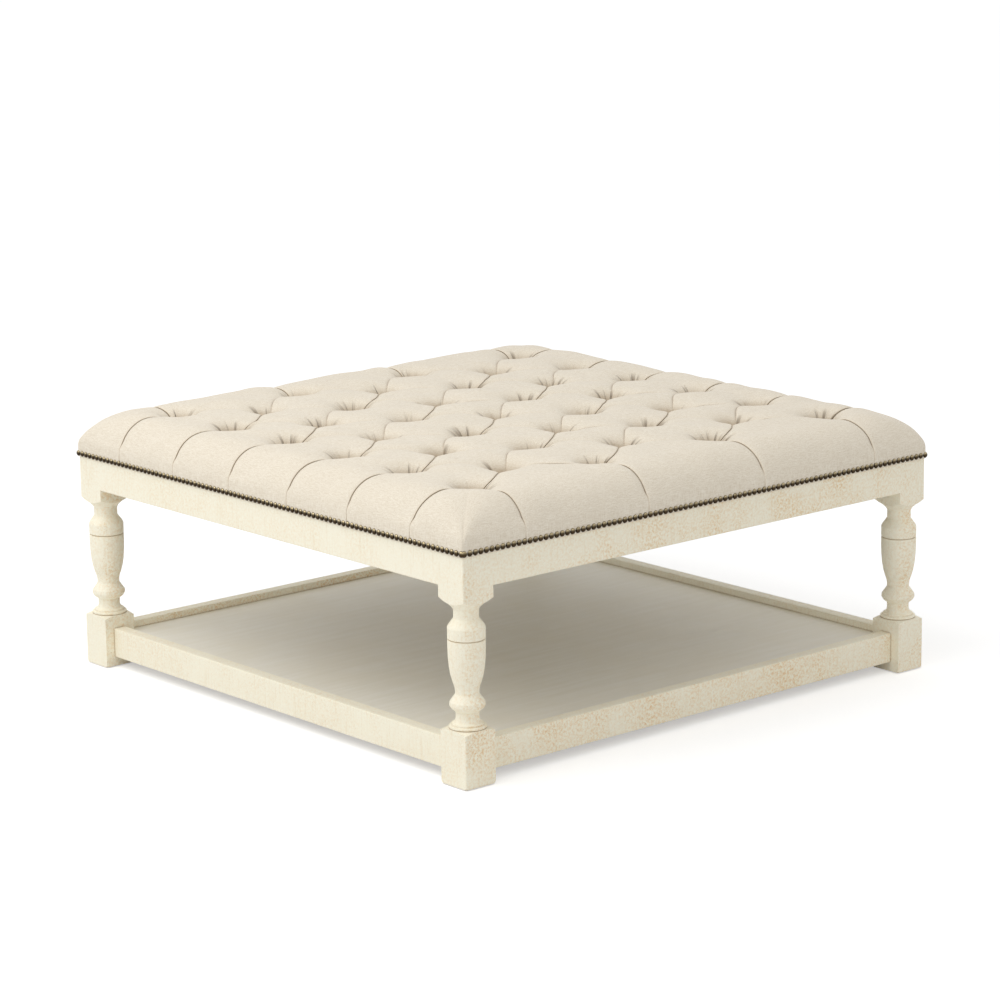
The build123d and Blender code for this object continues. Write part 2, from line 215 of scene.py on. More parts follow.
class Graph:
    """Short calls for the nodes of one material."""

    def __init__(self, name):
        self.material = bpy.data.materials.new(name)
        self.material.use_nodes = True
        self.nodes = self.material.node_tree.nodes
        self.links = self.material.node_tree.links
        self.shader = self.nodes["Principled BSDF"]
        self.place = self.nodes.new("ShaderNodeTexCoord").outputs["Object"]

    def new(self, kind, **values):
        node = self.nodes.new(kind)
        for key, value in values.items():
            setattr(node, key, value)
        return node

    def put(self, socket, value):
        if isinstance(value, bpy.types.NodeSocket):
            self.links.new(value, socket)
        else:
            socket.default_value = value

    def stretch(self, x, y, z):
        node = self.new("ShaderNodeMapping")
        self.put(node.inputs["Vector"], self.place)
        node.inputs["Scale"].default_value = (x, y, z)
        return node.outputs["Vector"]

    def noise(self, scale, detail=2.0, roughness=0.5, distortion=0.0, where=None):
        node = self.new("ShaderNodeTexNoise")
        self.put(node.inputs["Vector"], where or self.place)
        node.inputs["Scale"].default_value = scale
        node.inputs["Detail"].default_value = detail
        node.inputs["Roughness"].default_value = roughness
        node.inputs["Distortion"].default_value = distortion
        return node.outputs["Fac"]

    def cells(self, scale, feature="DISTANCE_TO_EDGE"):
        node = self.new("ShaderNodeTexVoronoi", feature=feature)
        self.put(node.inputs["Vector"], self.place)
        node.inputs["Scale"].default_value = scale
        return node.outputs["Distance"]

    def ramp(self, value, low, high, from_value=0.0, to_value=1.0):
        node = self.new("ShaderNodeMapRange", interpolation_type="SMOOTHSTEP")
        self.put(node.inputs["Value"], value)
        node.inputs["From Min"].default_value = low
        node.inputs["From Max"].default_value = high
        node.inputs["To Min"].default_value = from_value
        node.inputs["To Max"].default_value = to_value
        return node.outputs["Result"]

    def math(self, operation, first, second=0.0):
        node = self.new("ShaderNodeMath", operation=operation)
        self.put(node.inputs[0], first)
        self.put(node.inputs[1], second)
        return node.outputs[0]

    def mix(self, share, first, second):
        node = self.new("ShaderNodeMix", data_type="RGBA")
        self.put(node.inputs["Factor"], share)
        self.put(node.inputs["A"], first)
        self.put(node.inputs["B"], second)
        return node.outputs["Result"]

    def split(self, vector):
        """The X, Y and Z of a vector."""
        node = self.new("ShaderNodeSeparateXYZ")
        self.put(node.inputs[0], vector)
        return node.outputs

    def facing(self):
        """The X, Y and Z of the direction in which the surface faces."""
        return self.split(self.new("ShaderNodeNewGeometry").outputs["Normal"])

    def carried(self, name, output="Fac"):
        """A value that the mesh's points carry."""
        return self.new("ShaderNodeAttribute", attribute_name=name).outputs[output]

    def hollow(self, distance):
        """1 in the open and 0 in narrow recesses."""
        node = self.new("ShaderNodeAmbientOcclusion", samples=8)
        node.inputs["Distance"].default_value = distance
        return node.outputs["AO"]

    def bump(self, height, distance, strength=1.0, under=None):
        node = self.new("ShaderNodeBump")
        self.put(node.inputs["Height"], height)
        node.inputs["Distance"].default_value = distance
        node.inputs["Strength"].default_value = strength
        if under:
            self.put(node.inputs["Normal"], under)
        return node.outputs["Normal"]

    def finish(self, colour, roughness, normal=None, **constants):
        self.put(self.shader.inputs["Base Color"], colour)
        self.put(self.shader.inputs["Roughness"], roughness)
        if normal:
            self.put(self.shader.inputs["Normal"], normal)
        for name, value in constants.items():
            self.shader.inputs[name.replace("_", " ")].default_value = value
        return self.material


def crease_relief_and_shade(g, painted_pit_share):
    """Short creases that fan out from each tuft up the wall of its pit, from 0 to 1, for the linen's bump
    and its painted shade.
    """
    apart = 7.3  # how far apart in the noise two tufts lie, so that their creases differ
    across, along, number = g.split(g.carried("from_tuft", "Vector"))
    angle = g.math("ARCTAN2", along, across)
    circle = g.new("ShaderNodeCombineXYZ")
    g.put(circle.inputs["X"], g.math("COSINE", angle))
    g.put(circle.inputs["Y"], g.math("SINE", angle))
    g.put(circle.inputs["Z"], g.math("MULTIPLY", number, apart))
    fan = g.noise(3.2, 2.0, 0.6, where=circle.outputs[0])
    squares = g.math("ADD", g.math("MULTIPLY", across, across), g.math("MULTIPLY", along, along))
    reach = g.math("POWER", squares, 0.5)
    shown = g.math("MULTIPLY", g.ramp(reach, 0.008, 0.016), g.ramp(reach, 0.024, 0.054, 1.0, 0.0))
    shown = g.math("MULTIPLY", shown, g.ramp(painted_pit_share, 0.03, 0.12))
    return g.math("MULTIPLY", g.ramp(fan, 0.54, 0.70), shown)


def linen():
    """Natural off-white linen: uneven threads both ways, faint clouds of a duller tone, painted shade in
    pits and folds.
    """
    g = Graph("linen")
    dark_thread, light_thread = srgb(224, 211, 189), srgb(250, 242, 226)
    # Past the clouds, these colours are painted shade: in the pits, round them, in the folds and along the
    # creases
    cloud, pit, painted_hollow_shade = srgb(226, 215, 197), srgb(160, 137, 106), srgb(172, 148, 116)
    painted_fold_shade, crease = srgb(96, 76, 56), srgb(112, 92, 70)
    along_x = g.noise(1.0, 2.0, 0.6, where=g.stretch(90, 1100, 1100))
    along_y = g.noise(1.0, 2.0, 0.6, where=g.stretch(1100, 90, 1100))
    along_z = g.noise(1.0, 2.0, 0.6, where=g.stretch(1100, 1100, 90))
    threads = g.math("ADD", g.math("ADD", along_x, along_y), along_z)
    cloudy = g.noise(9.0, 3.0, 0.6)
    colour = g.mix(g.ramp(threads, 1.15, 1.85), dark_thread, light_thread)
    colour = g.mix(g.ramp(cloudy, 0.3, 0.7, 0.0, 0.12), colour, cloud)
    # Painted shade: darker the deeper a point lies in its pit, as the mesh carries it
    painted_pit_share = g.carried("pit")
    colour = g.mix(g.ramp(painted_pit_share, 0.10, 0.95, 0.0, 0.90), colour, pit)
    # Painted shade where the surface is enclosed, in and round the pits
    colour = g.mix(g.ramp(g.hollow(0.060), 0.35, 0.93, 0.60, 0.0), colour, painted_hollow_shade)
    # Painted shade: dark lines in the narrow folds
    colour = g.mix(g.ramp(g.hollow(0.007), 0.15, 0.80, 0.90, 0.0), colour, painted_fold_shade)
    # Painted shade along short creases in the pits, which also get a bump
    fan = crease_relief_and_shade(g, painted_pit_share)
    colour = g.mix(g.math("MULTIPLY", fan, 0.7), colour, crease)
    normal = g.bump(g.math("MULTIPLY", fan, -1.0), 0.004, 0.8, under=g.bump(threads, 0.0004, 0.6))
    return g.finish(colour, 0.92, normal, Sheen_Weight=0.2, Sheen_Roughness=0.5, Specular_IOR_Level=0.2)


def painted_wood():
    """Cream paint under an aged glaze: mottled tan, brushed streaks, fine specks, dirt and painted shade in
    the quirks.
    """
    g = Graph("painted_wood")
    cream, tan, streak = srgb(255, 250, 230), srgb(232, 196, 140), srgb(238, 222, 190)
    speck, quirk_dirt_and_shade = srgb(184, 156, 116), srgb(168, 138, 98)
    patches = g.noise(9.0, 4.0, 0.6, 0.4)
    mottle = g.noise(190.0, 6.0, 0.75, 0.3)
    streaks = g.noise(1.0, 4.0, 0.6, where=g.stretch(150, 150, 14))
    specks = g.noise(620.0, 2.0, 0.5)
    # Painted shade: the glaze lies thicker on the faces that look to the front and back, which darkens
    # those sides
    painted_side_shade = g.ramp(g.math("ABSOLUTE", g.facing()["Y"]), 0.45, 0.85, 0.35, 1.0)
    glaze = g.math("MULTIPLY", g.ramp(mottle, 0.40, 0.66), g.ramp(patches, 0.35, 0.68, 0.30, 1.0))
    colour = g.mix(g.math("MULTIPLY", glaze, painted_side_shade), cream, tan)
    colour = g.mix(g.ramp(streaks, 0.50, 0.75, 0.0, 0.35), colour, streak)
    colour = g.mix(g.ramp(specks, 0.66, 0.74, 0.0, 0.55), colour, speck)
    # Dirt and painted shade in the quirks, darker where a point is enclosed
    colour = g.mix(g.ramp(g.hollow(0.006), 0.30, 0.85, 0.80, 0.0), colour, quirk_dirt_and_shade)
    relief = g.math("ADD", mottle, g.math("MULTIPLY", streaks, 0.5))
    roughness = g.ramp(mottle, 0.3, 0.7, 0.50, 0.68)
    return g.finish(colour, roughness, g.bump(relief, 0.0005, 0.30), Specular_IOR_Level=0.35)


def shelf_wood():
    """The shelf's greyer paint, brushed along the boards."""
    g = Graph("shelf_wood")
    dark_stroke, light_stroke = srgb(243, 238, 222), srgb(250, 246, 234)
    cloud, speck = srgb(240, 231, 208), srgb(222, 211, 184)
    brushed = g.noise(1.0, 5.0, 0.6, where=g.stretch(4, 60, 60))
    soft = g.noise(6.0, 4.0, 0.6)
    fine = g.noise(420.0, 3.0, 0.6)
    colour = g.mix(g.ramp(brushed, 0.3, 0.7), dark_stroke, light_stroke)
    colour = g.mix(g.ramp(soft, 0.35, 0.7, 0.0, 0.35), colour, cloud)
    colour = g.mix(g.ramp(fine, 0.6, 0.8, 0.0, 0.3), colour, speck)
    roughness = g.ramp(brushed, 0.3, 0.7, 0.42, 0.58)
    return g.finish(colour, roughness, g.bump(brushed, 0.0003, 0.2), Specular_IOR_Level=0.45)


def bare_wood():
    """Unfinished pine for the hidden frame."""
    g = Graph("bare_wood")
    light_grain, dark_grain = srgb(216, 184, 136), srgb(188, 148, 98)
    grain = g.noise(1.0, 5.0, 0.6, 0.6, where=g.stretch(60, 60, 14))
    colour = g.mix(g.ramp(grain, 0.35, 0.65), light_grain, dark_grain)
    return g.finish(colour, 0.75, g.bump(grain, 0.0005, 0.4))


def foam():
    """Cut foam with open pores."""
    g = Graph("foam")
    pore, wall = srgb(206, 192, 150), srgb(238, 228, 190)
    pores = g.cells(420.0)
    return g.finish(g.mix(g.ramp(pores, 0.0, 0.25), pore, wall), 0.95, g.bump(pores, 0.0005, 0.6))


def dust_cloth():
    """Undyed spun cloth with its pressed dots."""
    g = Graph("dust_cloth")
    dot, cloth, fibre = srgb(164, 158, 146), srgb(184, 178, 166), srgb(150, 143, 130)
    dots = g.cells(650.0, "F1")
    fibres = g.noise(900.0, 3.0, 0.7)
    colour = g.mix(g.ramp(dots, 0.2, 0.6), dot, cloth)
    colour = g.mix(g.ramp(fibres, 0.4, 0.7, 0.0, 0.4), colour, fibre)
    return g.finish(colour, 0.9, g.bump(dots, 0.0003, 0.6))


def antique_brass():
    """Dark bronzed brass with a painted highlight on the nails' upper sides and painted shade, near black,
    between them.
    """
    g = Graph("antique_brass")
    lower, upper = srgb(58, 46, 32), srgb(205, 188, 150)
    bronze, painted_gap_shade = srgb(70, 57, 39), srgb(14, 10, 7)
    tarnish = g.noise(160.0, 4.0, 0.6)
    # Painted highlight and shade: the nails are light on their upper sides and dark on their lower sides
    colour = g.mix(g.ramp(g.facing()["Z"], -0.05, 0.85), lower, upper)
    colour = g.mix(g.ramp(tarnish, 0.35, 0.7, 0.0, 0.4), colour, bronze)
    # Painted shade, near black, between the nails and under their rims
    colour = g.mix(g.ramp(g.hollow(0.012), 0.50, 0.97, 1.0, 0.0), colour, painted_gap_shade)
    roughness = g.ramp(tarnish, 0.3, 0.7, 0.22, 0.36)
    return g.finish(colour, roughness, g.bump(tarnish, 0.0003, 0.3), Metallic=1.0)


def steel():
    """Plain zinc-plated screws with fine scratches."""
    g = Graph("steel")
    bright, dull = srgb(176, 176, 172), srgb(140, 140, 138)
    scratches = g.noise(700.0, 3.0, 0.6)
    colour = g.mix(g.ramp(scratches, 0.3, 0.7), bright, dull)
    roughness = g.ramp(scratches, 0.3, 0.7, 0.28, 0.42)
    return g.finish(colour, roughness, g.bump(scratches, 0.0001, 0.3), Metallic=1.0)


def glide_plastic():
    """Grey plastic, scuffed by the floor."""
    g = Graph("glide_plastic")
    pale, dark = srgb(120, 112, 100), srgb(92, 85, 76)
    scuffs = g.noise(240.0, 3.0, 0.6)
    colour = g.mix(g.ramp(scuffs, 0.4, 0.7), pale, dark)
    return g.finish(colour, g.ramp(scuffs, 0.3, 0.7, 0.35, 0.55), g.bump(scuffs, 0.0002, 0.3))


finishes = {
    "painted_wood": painted_wood(),
    "shelf_wood": shelf_wood(),
    "bare_wood": bare_wood(),
    "linen": linen(),
    "foam": foam(),
    "dust_cloth": dust_cloth(),
    "glide_plastic": glide_plastic(),
    "steel": steel(),
    "antique_brass": antique_brass(),
}

# The finish of each node, by the start of its name
node_finishes = {
    "apron_": "painted_wood",
    "leg_": "painted_wood",
    "shelf_rail_": "painted_wood",
    "shelf_panel": "shelf_wood",
    "shelf_cleat_": "bare_wood",
    "shelf_bearer": "bare_wood",
    "corner_brace_": "bare_wood",
    "deck_": "bare_wood",
    "foam_pad": "foam",
    "tufted_cover": "linen",
    "tuft_buttons": "linen",
    "dust_cover": "dust_cloth",
    "foot_glides": "glide_plastic",
    "brace_screws": "steel",
}


def dress_frame():
    """The finish of every node that stays in view."""
    for name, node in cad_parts.items():
        finish = next(finish for prefix, finish in node_finishes.items() if name.startswith(prefix))
        node.data.materials.clear()
        node.data.materials.append(finishes[finish])


def piece(name, slot, vertices, faces, smooth=True):
    """A new mesh piece of the table in one of its finishes."""
    mesh = bpy.data.meshes.new(name)
    mesh.from_pydata([tuple(map(float, v)) for v in vertices], [], [tuple(map(int, f)) for f in faces])
    mesh.validate()
    if smooth:
        mesh.shade_smooth()
    mesh.materials.append(finishes[slot])
    made = bpy.data.objects.new(name, mesh)
    bpy.context.scene.collection.objects.link(made)
    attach(made, "root")
    return made


class Patches:
    """Grids of points that are welded into one mesh, with what each point's form is worked out from.

    rest is the point's place before anything moves it, and place after its fold has leaned. tuft, reach and
    turn are the nearest tuft and the distance and direction from it. crease is the distance to the nearest
    fold, across the direction in which that fold slides, over whether its pillow lies on top, and foot how
    far down the side the point lies, as a share.
    """

    fields = ("rest", "place", "normal", "tuft", "reach", "turn", "crease", "across", "over", "foot")

    def __init__(self):
        self.columns = {field: [] for field in self.fields}
        self.faces = []
        self.count = 0

    def add(self, kept=None, **values):
        """Adds a grid. kept(row, column) names the corners that are kept of a face: four, three or none."""
        rows, columns = values["place"].shape[:2]
        for field in self.fields:
            self.columns[field].append(values[field].reshape(rows * columns, -1))
        index = self.count + np.arange(rows * columns).reshape(rows, columns)
        for i in range(rows - 1):
            for j in range(columns - 1):
                corners = (index[i, j], index[i, j + 1], index[i + 1, j + 1], index[i + 1, j])
                if kept:
                    corners = tuple(corners[k] for k in kept(i, j))
                if corners:
                    self.faces.append(corners)
        self.count += rows * columns

    def add_rows(self, rows):
        """Adds a grid that is given row by row."""
        self.add(**{field: np.stack([row[field] for row in rows]) for field in self.fields})

    def weld(self):
        """The joined points and faces, with each point's values."""
        whole = {field: np.concatenate(parts) for field, parts in self.columns.items()}
        keys = np.round(whole["rest"] * 1e6).astype(np.int64)
        _, first, joined = np.unique(keys, axis=0, return_index=True, return_inverse=True)
        joined = joined.reshape(-1)
        faces = []
        for face in self.faces:
            loop = []
            for corner in face:
                new = joined[corner]
                if new not in loop:
                    loop.append(new)
            if len(loop) > 2:
                faces.append(loop)
        return {field: whole[field][first] for field in self.fields}, faces


def is_tuft(column, step):
    """Whether the diamond pattern has a tuft there."""
    return 0 <= column < tuft_columns and 0 <= step < tuft_steps and (column + step) % 2 == 0


def tuft_place(column, step):
    """A tuft's place seen from above."""
    return np.array([(column * pitch_x) - base_x, (step * pitch_y) - base_y])


def tuft_list():
    """The columns and steps of all tufts."""
    return [(c, s) for c in range(tuft_columns) for s in range(tuft_steps) if is_tuft(c, s)]


# A pillow's sides, its width between two facing sides, and its directions seen from above
edge_length = math.hypot(pitch_x, pitch_y)
cell_width = 2 * pitch_x * pitch_y / edge_length
half_shares = line_distances / cell_width * 2  # the mesh's lines as shares of half a pillow's width
along_up = np.array([pitch_x, pitch_y])
along_down = np.array([pitch_x, -pitch_y])
upward_left = np.array([-pitch_y, pitch_x]) / edge_length
upward_right = np.array([pitch_y, pitch_x]) / edge_length


def smooth(value):
    """0 to 1 with soft ends."""
    value = np.clip(value, 0, 1)
    return value * value * (3 - 2 * value)


def between(value, span):
    """0 up to the start of a span and 1 from its end on, with soft ends."""
    start, end = span
    return smooth((value - start) / (end - start))


def nearest_tuft(flat):
    """The number, distance and direction of the tuft nearest to each flat point."""
    tufts = np.array([tuft_place(*t) for t in tuft_list()])
    away = flat[..., None, :] - tufts
    distance = np.hypot(away[..., 0], away[..., 1])
    number = distance.argmin(axis=-1)
    picked = np.take_along_axis(away, number[..., None, None], axis=-2)[..., 0, :]
    return number, distance.min(axis=-1), np.arctan2(picked[..., 1], picked[..., 0])


def fold_lean(share, first_column):
    """How far a fold leans at a share of its length from its first tuft."""
    narrow, wide = (share, 1 - share) if first_column % 2 == 0 else (1 - share, share)
    from_narrow = smooth(narrow * edge_length / lean_start_narrow)
    return lean * from_narrow * smooth(wide * edge_length / lean_start_wide)


def cell_slide(column, step, u, v):
    """How far the folds round a pillow pull a point of it aside. column and step are its left tuft's.

    The pillows centred on an even column lie over the others, and push their folds outwards.
    """
    outwards = 1.0 if column % 2 else -1.0
    left, upper = is_tuft(column, step), is_tuft(column + 1, step + 1)
    right, lower = is_tuft(column + 2, step), is_tuft(column + 1, step - 1)
    sides = (
        (left and upper, (1 - v), fold_lean(u, column), upward_left),
        (upper and right, u, fold_lean(v, column + 1), upward_right),
        (lower and right, v, fold_lean(u, column + 1), -upward_left),
        (left and lower, (1 - u), fold_lean(v, column), -upward_right),
    )
    slide = np.zeros(u.shape + (2,))
    for whole, near, amount, direction in sides:
        if whole:
            slide += outwards * (near ** lean_power * amount)[..., None] * direction
    return slide


def cell_lines():
    """The grid lines of a pillow, as shares of its width."""
    shares = line_distances / cell_width
    return np.concatenate([shares, [0.5], 1 - shares[::-1]])


def half(first, second, diagonal):
    """The corners kept of a face on one side of a diagonal."""
    if first > second:
        return (0, 1, 2, 3)
    return diagonal if first == second else ()


def inner_cells(patches):
    """The pillows between four tufts, and the halves of pillows along the outermost tufts."""
    lines = cell_lines()
    u, v = np.meshgrid(lines, lines, indexing="ij")
    last = len(lines) - 1
    halves = {
        (False, True, True, True): lambda i, j: half(i + j, last - 1, (1, 2, 3)),
        (True, True, False, True): lambda i, j: half(last - 1, i + j, (0, 1, 3)),
        (True, False, True, True): lambda i, j: half(j, i, (0, 1, 2)),
        (True, True, True, False): lambda i, j: half(i, j, (0, 2, 3)),
    }
    for column in range(-1, tuft_columns - 1):
        for step in range(tuft_steps):
            corners = [is_tuft(column, step), is_tuft(column + 1, step + 1)]
            corners += [is_tuft(column + 2, step), is_tuft(column + 1, step - 1)]
            if (column + step) % 2 or sum(corners) < 3:
                continue
            rest = tuft_place(column, step) + u[..., None] * along_up + v[..., None] * along_down
            flat = rest + cell_slide(column, step, u, v)
            number, reach, turn = nearest_tuft(flat)
            to_folds = np.stack([v, 1 - u, 1 - v, u]) * cell_width
            outwards = np.stack([upward_left, upward_right, -upward_left, -upward_right])
            nearest = to_folds.argmin(axis=0)
            is_over = column % 2 == 1
            towards_lower = outwards[nearest] * (1 if is_over else -1)
            zero = np.zeros(u.shape)
            patches.add(
                kept=halves.get(tuple(corners)),
                rest=np.dstack([rest, zero + top]),
                place=np.dstack([flat, zero + top]),
                normal=np.dstack([zero, zero, zero + 1]),
                tuft=number,
                reach=reach,
                turn=turn,
                crease=to_folds.min(axis=0),
                across=np.dstack([towards_lower, zero]),
                over=zero + is_over,
                foot=zero,
            )


def ring_levels():
    """The rings from the outermost tufts to the skirt's edge, as (crest share, angle, drop, foot share)."""
    levels = [(share, 0.0, 0.0, 0.0) for share in crest_shares]
    for number in range(shoulder_rings + 1):
        down = number / shoulder_rings
        levels.append((1.0, math.pi / 2 * down, 0.0, shoulder_end_share * down))
    drop = top - shoulder_rise - skirt_bottom
    for number in range(1, skirt_rings + 1):
        down = number / skirt_rings
        levels.append((1.0, math.pi / 2, drop * down, shoulder_end_share + (1 - shoulder_end_share) * down))
    return levels


def ring(level):
    """One ring's reach along X and Y, corner radius, height and slope outwards."""
    share, angle, drop, _ = level
    rise = math.cos(angle)
    out = math.sin(angle)
    height = top - shoulder_rise + shoulder_rise * rise - drop
    flat_x = half_x - base_x - shoulder_inset
    flat_y = half_y - base_y - shoulder_inset
    crest_radius = min(flat_x, flat_y)
    if share < 1:
        radius = crest_radius * share
    else:
        radius = skirt_corner_radius + (crest_radius - skirt_corner_radius) * rise ** corner_narrowing
    slope = math.atan2(shoulder_rise * out, shoulder_inset * rise) if angle else 0.0
    reach_x = base_x + flat_x * share + shoulder_inset * out
    reach_y = base_y + flat_y * share + shoulder_inset * out
    return reach_x, reach_y, radius, height, slope


def surface_runs(levels, axis):
    """How far each ring lies from the outermost tufts, along the surface."""
    runs = [0.0]
    for before, here in zip(levels, levels[1:]):
        reach_before, reach_here = (ring(level)[1 - axis] for level in (before, here))
        runs.append(runs[-1] + math.hypot(reach_here - reach_before, ring(here)[3] - ring(before)[3]))
    return runs


def side_bands(patches):
    """The pillows from the outermost tufts over the shoulder and down the four sides."""
    levels = ring_levels()
    for axis in (0, 1):
        runs = surface_runs(levels, axis)
        count = tuft_columns if axis == 0 else tuft_steps
        for sign in (-1, 1):
            for step in range(0, count - 1, 2):
                rows = [band_row(level, run, axis, sign, step) for level, run in zip(levels, runs)]
                patches.add_rows(rows)


def band_row(level, run, axis, sign, step):
    """One row of a side's pillow, parallel to the outer face. axis is 0 at the front and back."""
    reach_x, reach_y, _, height, slope = ring(level)
    pitch = pitch_x if axis == 0 else pitch_y
    base = base_x if axis == 0 else base_y
    base_out = base_y if axis == 0 else base_x
    out = reach_y if axis == 0 else reach_x
    near_tufts = half_shares * pitch
    straight = line_distances + (pitch - cell_width / 2) * half_shares ** line_power
    blend = smooth(run / line_blend)
    offsets = near_tufts * (1 - blend) + straight * blend
    offsets = np.concatenate([offsets, [pitch], 2 * pitch - offsets[::-1]])
    along = step * pitch - base + offsets
    share = offsets / (2 * pitch)
    if axis == 0:
        slide = cell_slide(step, 0 if sign < 0 else tuft_steps - 1, share, share)
    else:
        slide = cell_slide(-1 if sign < 0 else tuft_columns - 2, step + 1, share, 1 - share)
    slide = slide * max(1 - run / side_lean_end, 0) ** side_lean_power
    zero = 0 * along
    first_half = np.arange(len(along)) <= len(half_shares)
    crease = np.minimum(offsets, 2 * pitch - offsets)
    rest = np.column_stack([along, zero + sign * out, zero + height])
    normal = np.column_stack([zero, zero + sign * math.sin(slope), zero + math.cos(slope)])
    across = np.column_stack([zero - 1, zero, zero])
    flat = np.column_stack([along, zero + sign * (base_out + run)])
    if axis == 1:
        rest, normal, across = (values[:, [1, 0, 2]] for values in (rest, normal, across))
        flat = flat[:, ::-1]
    number, reach, turn = nearest_tuft(flat + slide)
    return {
        "rest": rest,
        "place": rest + np.column_stack([slide, zero]),
        "normal": normal,
        "tuft": number,
        "reach": reach,
        "turn": turn,
        "crease": crease,
        "across": across,
        "over": first_half.astype(float),
        "foot": zero + level[3],
    }


def corner_fans(patches):
    """The four corner pillows, fanned out from the corner tufts."""
    levels = ring_levels()
    runs = surface_runs(levels, 0)
    for sign_x in (-1, 1):
        for sign_y in (-1, 1):
            rows = [corner_row(level, run, sign_x, sign_y) for level, run in zip(levels, runs)]
            patches.add_rows(rows)


def corner_row(level, run, sign_x, sign_y):
    """One row of a corner pillow: straight, round the corner, and straight again."""
    reach_x, reach_y, radius, height, slope = ring(level)
    straight_x = reach_x - radius - base_x
    straight_y = reach_y - radius - base_y
    arc = radius * math.pi / 2
    width = straight_x + arc + straight_y
    offsets = line_distances + (width / 2 - cell_width / 2) * half_shares ** line_power
    if width < cell_width:
        offsets = half_shares * width / 2
    offsets = np.concatenate([offsets, width / 2 - (width / 2 - offsets[-1]) * corner_shares])
    walk = np.concatenate([offsets, [width / 2], width - offsets[::-1]])
    place = []
    normal = []
    out = math.sin(slope)
    for distance in walk:
        if distance <= straight_x:
            x, y, angle = base_x + distance, reach_y, math.pi / 2
        elif distance >= straight_x + arc:
            x, y, angle = reach_x, base_y + width - distance, 0.0
        else:
            angle = math.pi / 2 - (distance - straight_x) / radius
            x = reach_x - radius + radius * math.cos(angle)
            y = reach_y - radius + radius * math.sin(angle)
        place.append((sign_x * x, sign_y * y, height))
        normal.append((sign_x * out * math.cos(angle), sign_y * out * math.sin(angle), math.cos(slope)))
    count = len(walk)
    column = 0 if sign_x < 0 else tuft_columns - 1
    step = 0 if sign_y < 0 else tuft_steps - 1
    turn = np.linspace(math.pi / 2, 0, count)
    by_front = np.arange(count) <= len(offsets)
    lies_over = np.where(by_front, sign_x > 0, sign_y > 0)
    sideways = np.where(by_front[:, None], [[-sign_x, 0, 0]], [[0, -sign_y, 0]])
    to_tuck = np.abs(walk - width / 2) + tuck_fade * max(tuck_top_share - level[3], 0)
    return {
        "rest": np.array(place),
        "place": np.array(place),
        "normal": np.array(normal),
        "tuft": np.full(count, tuft_list().index((column, step))),
        "reach": np.full(count, run),
        "turn": np.arctan2(sign_y * np.sin(turn), sign_x * np.cos(turn)),
        "crease": np.minimum(np.minimum(walk, width - walk), to_tuck),
        "across": sideways * np.where(lies_over, 1.0, -1.0)[:, None],
        "over": lies_over.astype(float),
        "foot": np.full(count, level[3]),
    }


def pit_form(reach):
    """How much of a pit's depth is left at a distance from its middle."""
    return np.exp(-(np.maximum(reach - pit_floor_radius, 0) / pit_reach) ** pit_power)


def fold_section(crease, over, column):
    """A column of the fold's section at each point, from the pillow's own side of the fold."""
    sections = [np.interp(crease, table[:, 0], table[:, column]) for table in (fold_over, fold_under)]
    return np.where(over > 0.5, *sections)


def tufted_form(points, random):
    """The points pressed in to their pits, saddles and folds, and how dark the painted shade of its pit is
    at each.
    """
    fields = ("reach", "turn", "crease", "over", "foot")
    reach, turn, crease, over, foot = (points[field][:, 0] for field in fields)
    number = points["tuft"][:, 0].astype(int)
    tufts = len(tuft_list())
    depth = pit_depth * (1 + unevenness_share * random.standard_normal(tufts))[number]
    width = (1 + unevenness_share * random.standard_normal(tufts))[number]
    pit = pit_form(reach * width)
    at_foot = between(foot, foot_shares)
    basin = basin_depth * np.exp(-((reach / basin_reach) ** 2))
    fade = 1 - between(foot, saddle_end_shares)
    saddle = saddle_dip * np.exp(-((crease / saddle_reach) ** saddle_power))
    saddle *= saddle_least_share + (1 - saddle_least_share) * fade
    strength = between(reach, fold_start) * (1 - foot_slack_share * at_foot)
    strength *= 1 - between(foot, fold_end_shares)
    lift = foot_lift * np.exp(-((crease / foot_lift_reach) ** 2))
    lift *= 1 - lift_slack_share * between(foot, lift_end_shares)
    inwards = depth * pit + (basin + saddle) * (1 - at_foot) - (lift + skirt_lift) * at_foot
    inwards += fold_section(crease, over, 1) * strength
    slide = fold_section(crease, over, 2) * strength
    creased = wrinkles(reach, turn, number, random)
    inwards += wrinkle_depth * creased
    place = points["place"]
    inwards += undulation(place, random) * (1 - pit) * (1 - at_foot)
    # Painted shade for the linen's colour: darker deep in a pit and along its wrinkles
    painted_shade_share = pit_shade * pit ** pit_shade_power + wrinkle_shade * creased * pit ** wrinkle_shade_power
    painted_shade_share = np.clip(painted_shade_share, 0, 1)
    return place - points["normal"] * inwards[:, None] + points["across"] * slide[:, None], painted_shade_share


def wrinkles(reach, turn, number, random):
    """Short creases that fan out from each tuft up the wall of its pit."""
    tufts = len(tuft_list())
    total = np.zeros(len(reach))
    for _ in range(wrinkle_count):
        direction = random.uniform(-math.pi, math.pi, tufts)[number]
        width = random.uniform(*wrinkle_widths, tufts)[number]
        length = random.uniform(*wrinkle_lengths, tufts)[number]
        strength = random.uniform(*wrinkle_strengths, tufts)[number]
        away = (turn - direction + math.pi) % (2 * math.pi) - math.pi
        aside = np.where(np.abs(away) < wrinkle_turn, reach * np.sin(away), np.inf)
        along = smooth(reach / wrinkle_start) * np.exp(-((reach / length) ** 4))
        total += strength * np.exp(-((aside / width) ** 2)) * along
    return total


def undulation(place, random):
    """Slight unevenness of the hand-stuffed wadding."""
    total = np.zeros(len(place))
    for length, height in waves:
        for _ in range(waves_each):
            angle = random.uniform(0, 2 * math.pi)
            phase = random.uniform(0, 2 * math.pi)
            wave = place[:, 0] * math.cos(angle) + place[:, 1] * math.sin(angle)
            total += height * np.sin(2 * math.pi * wave / length + phase)
    return total


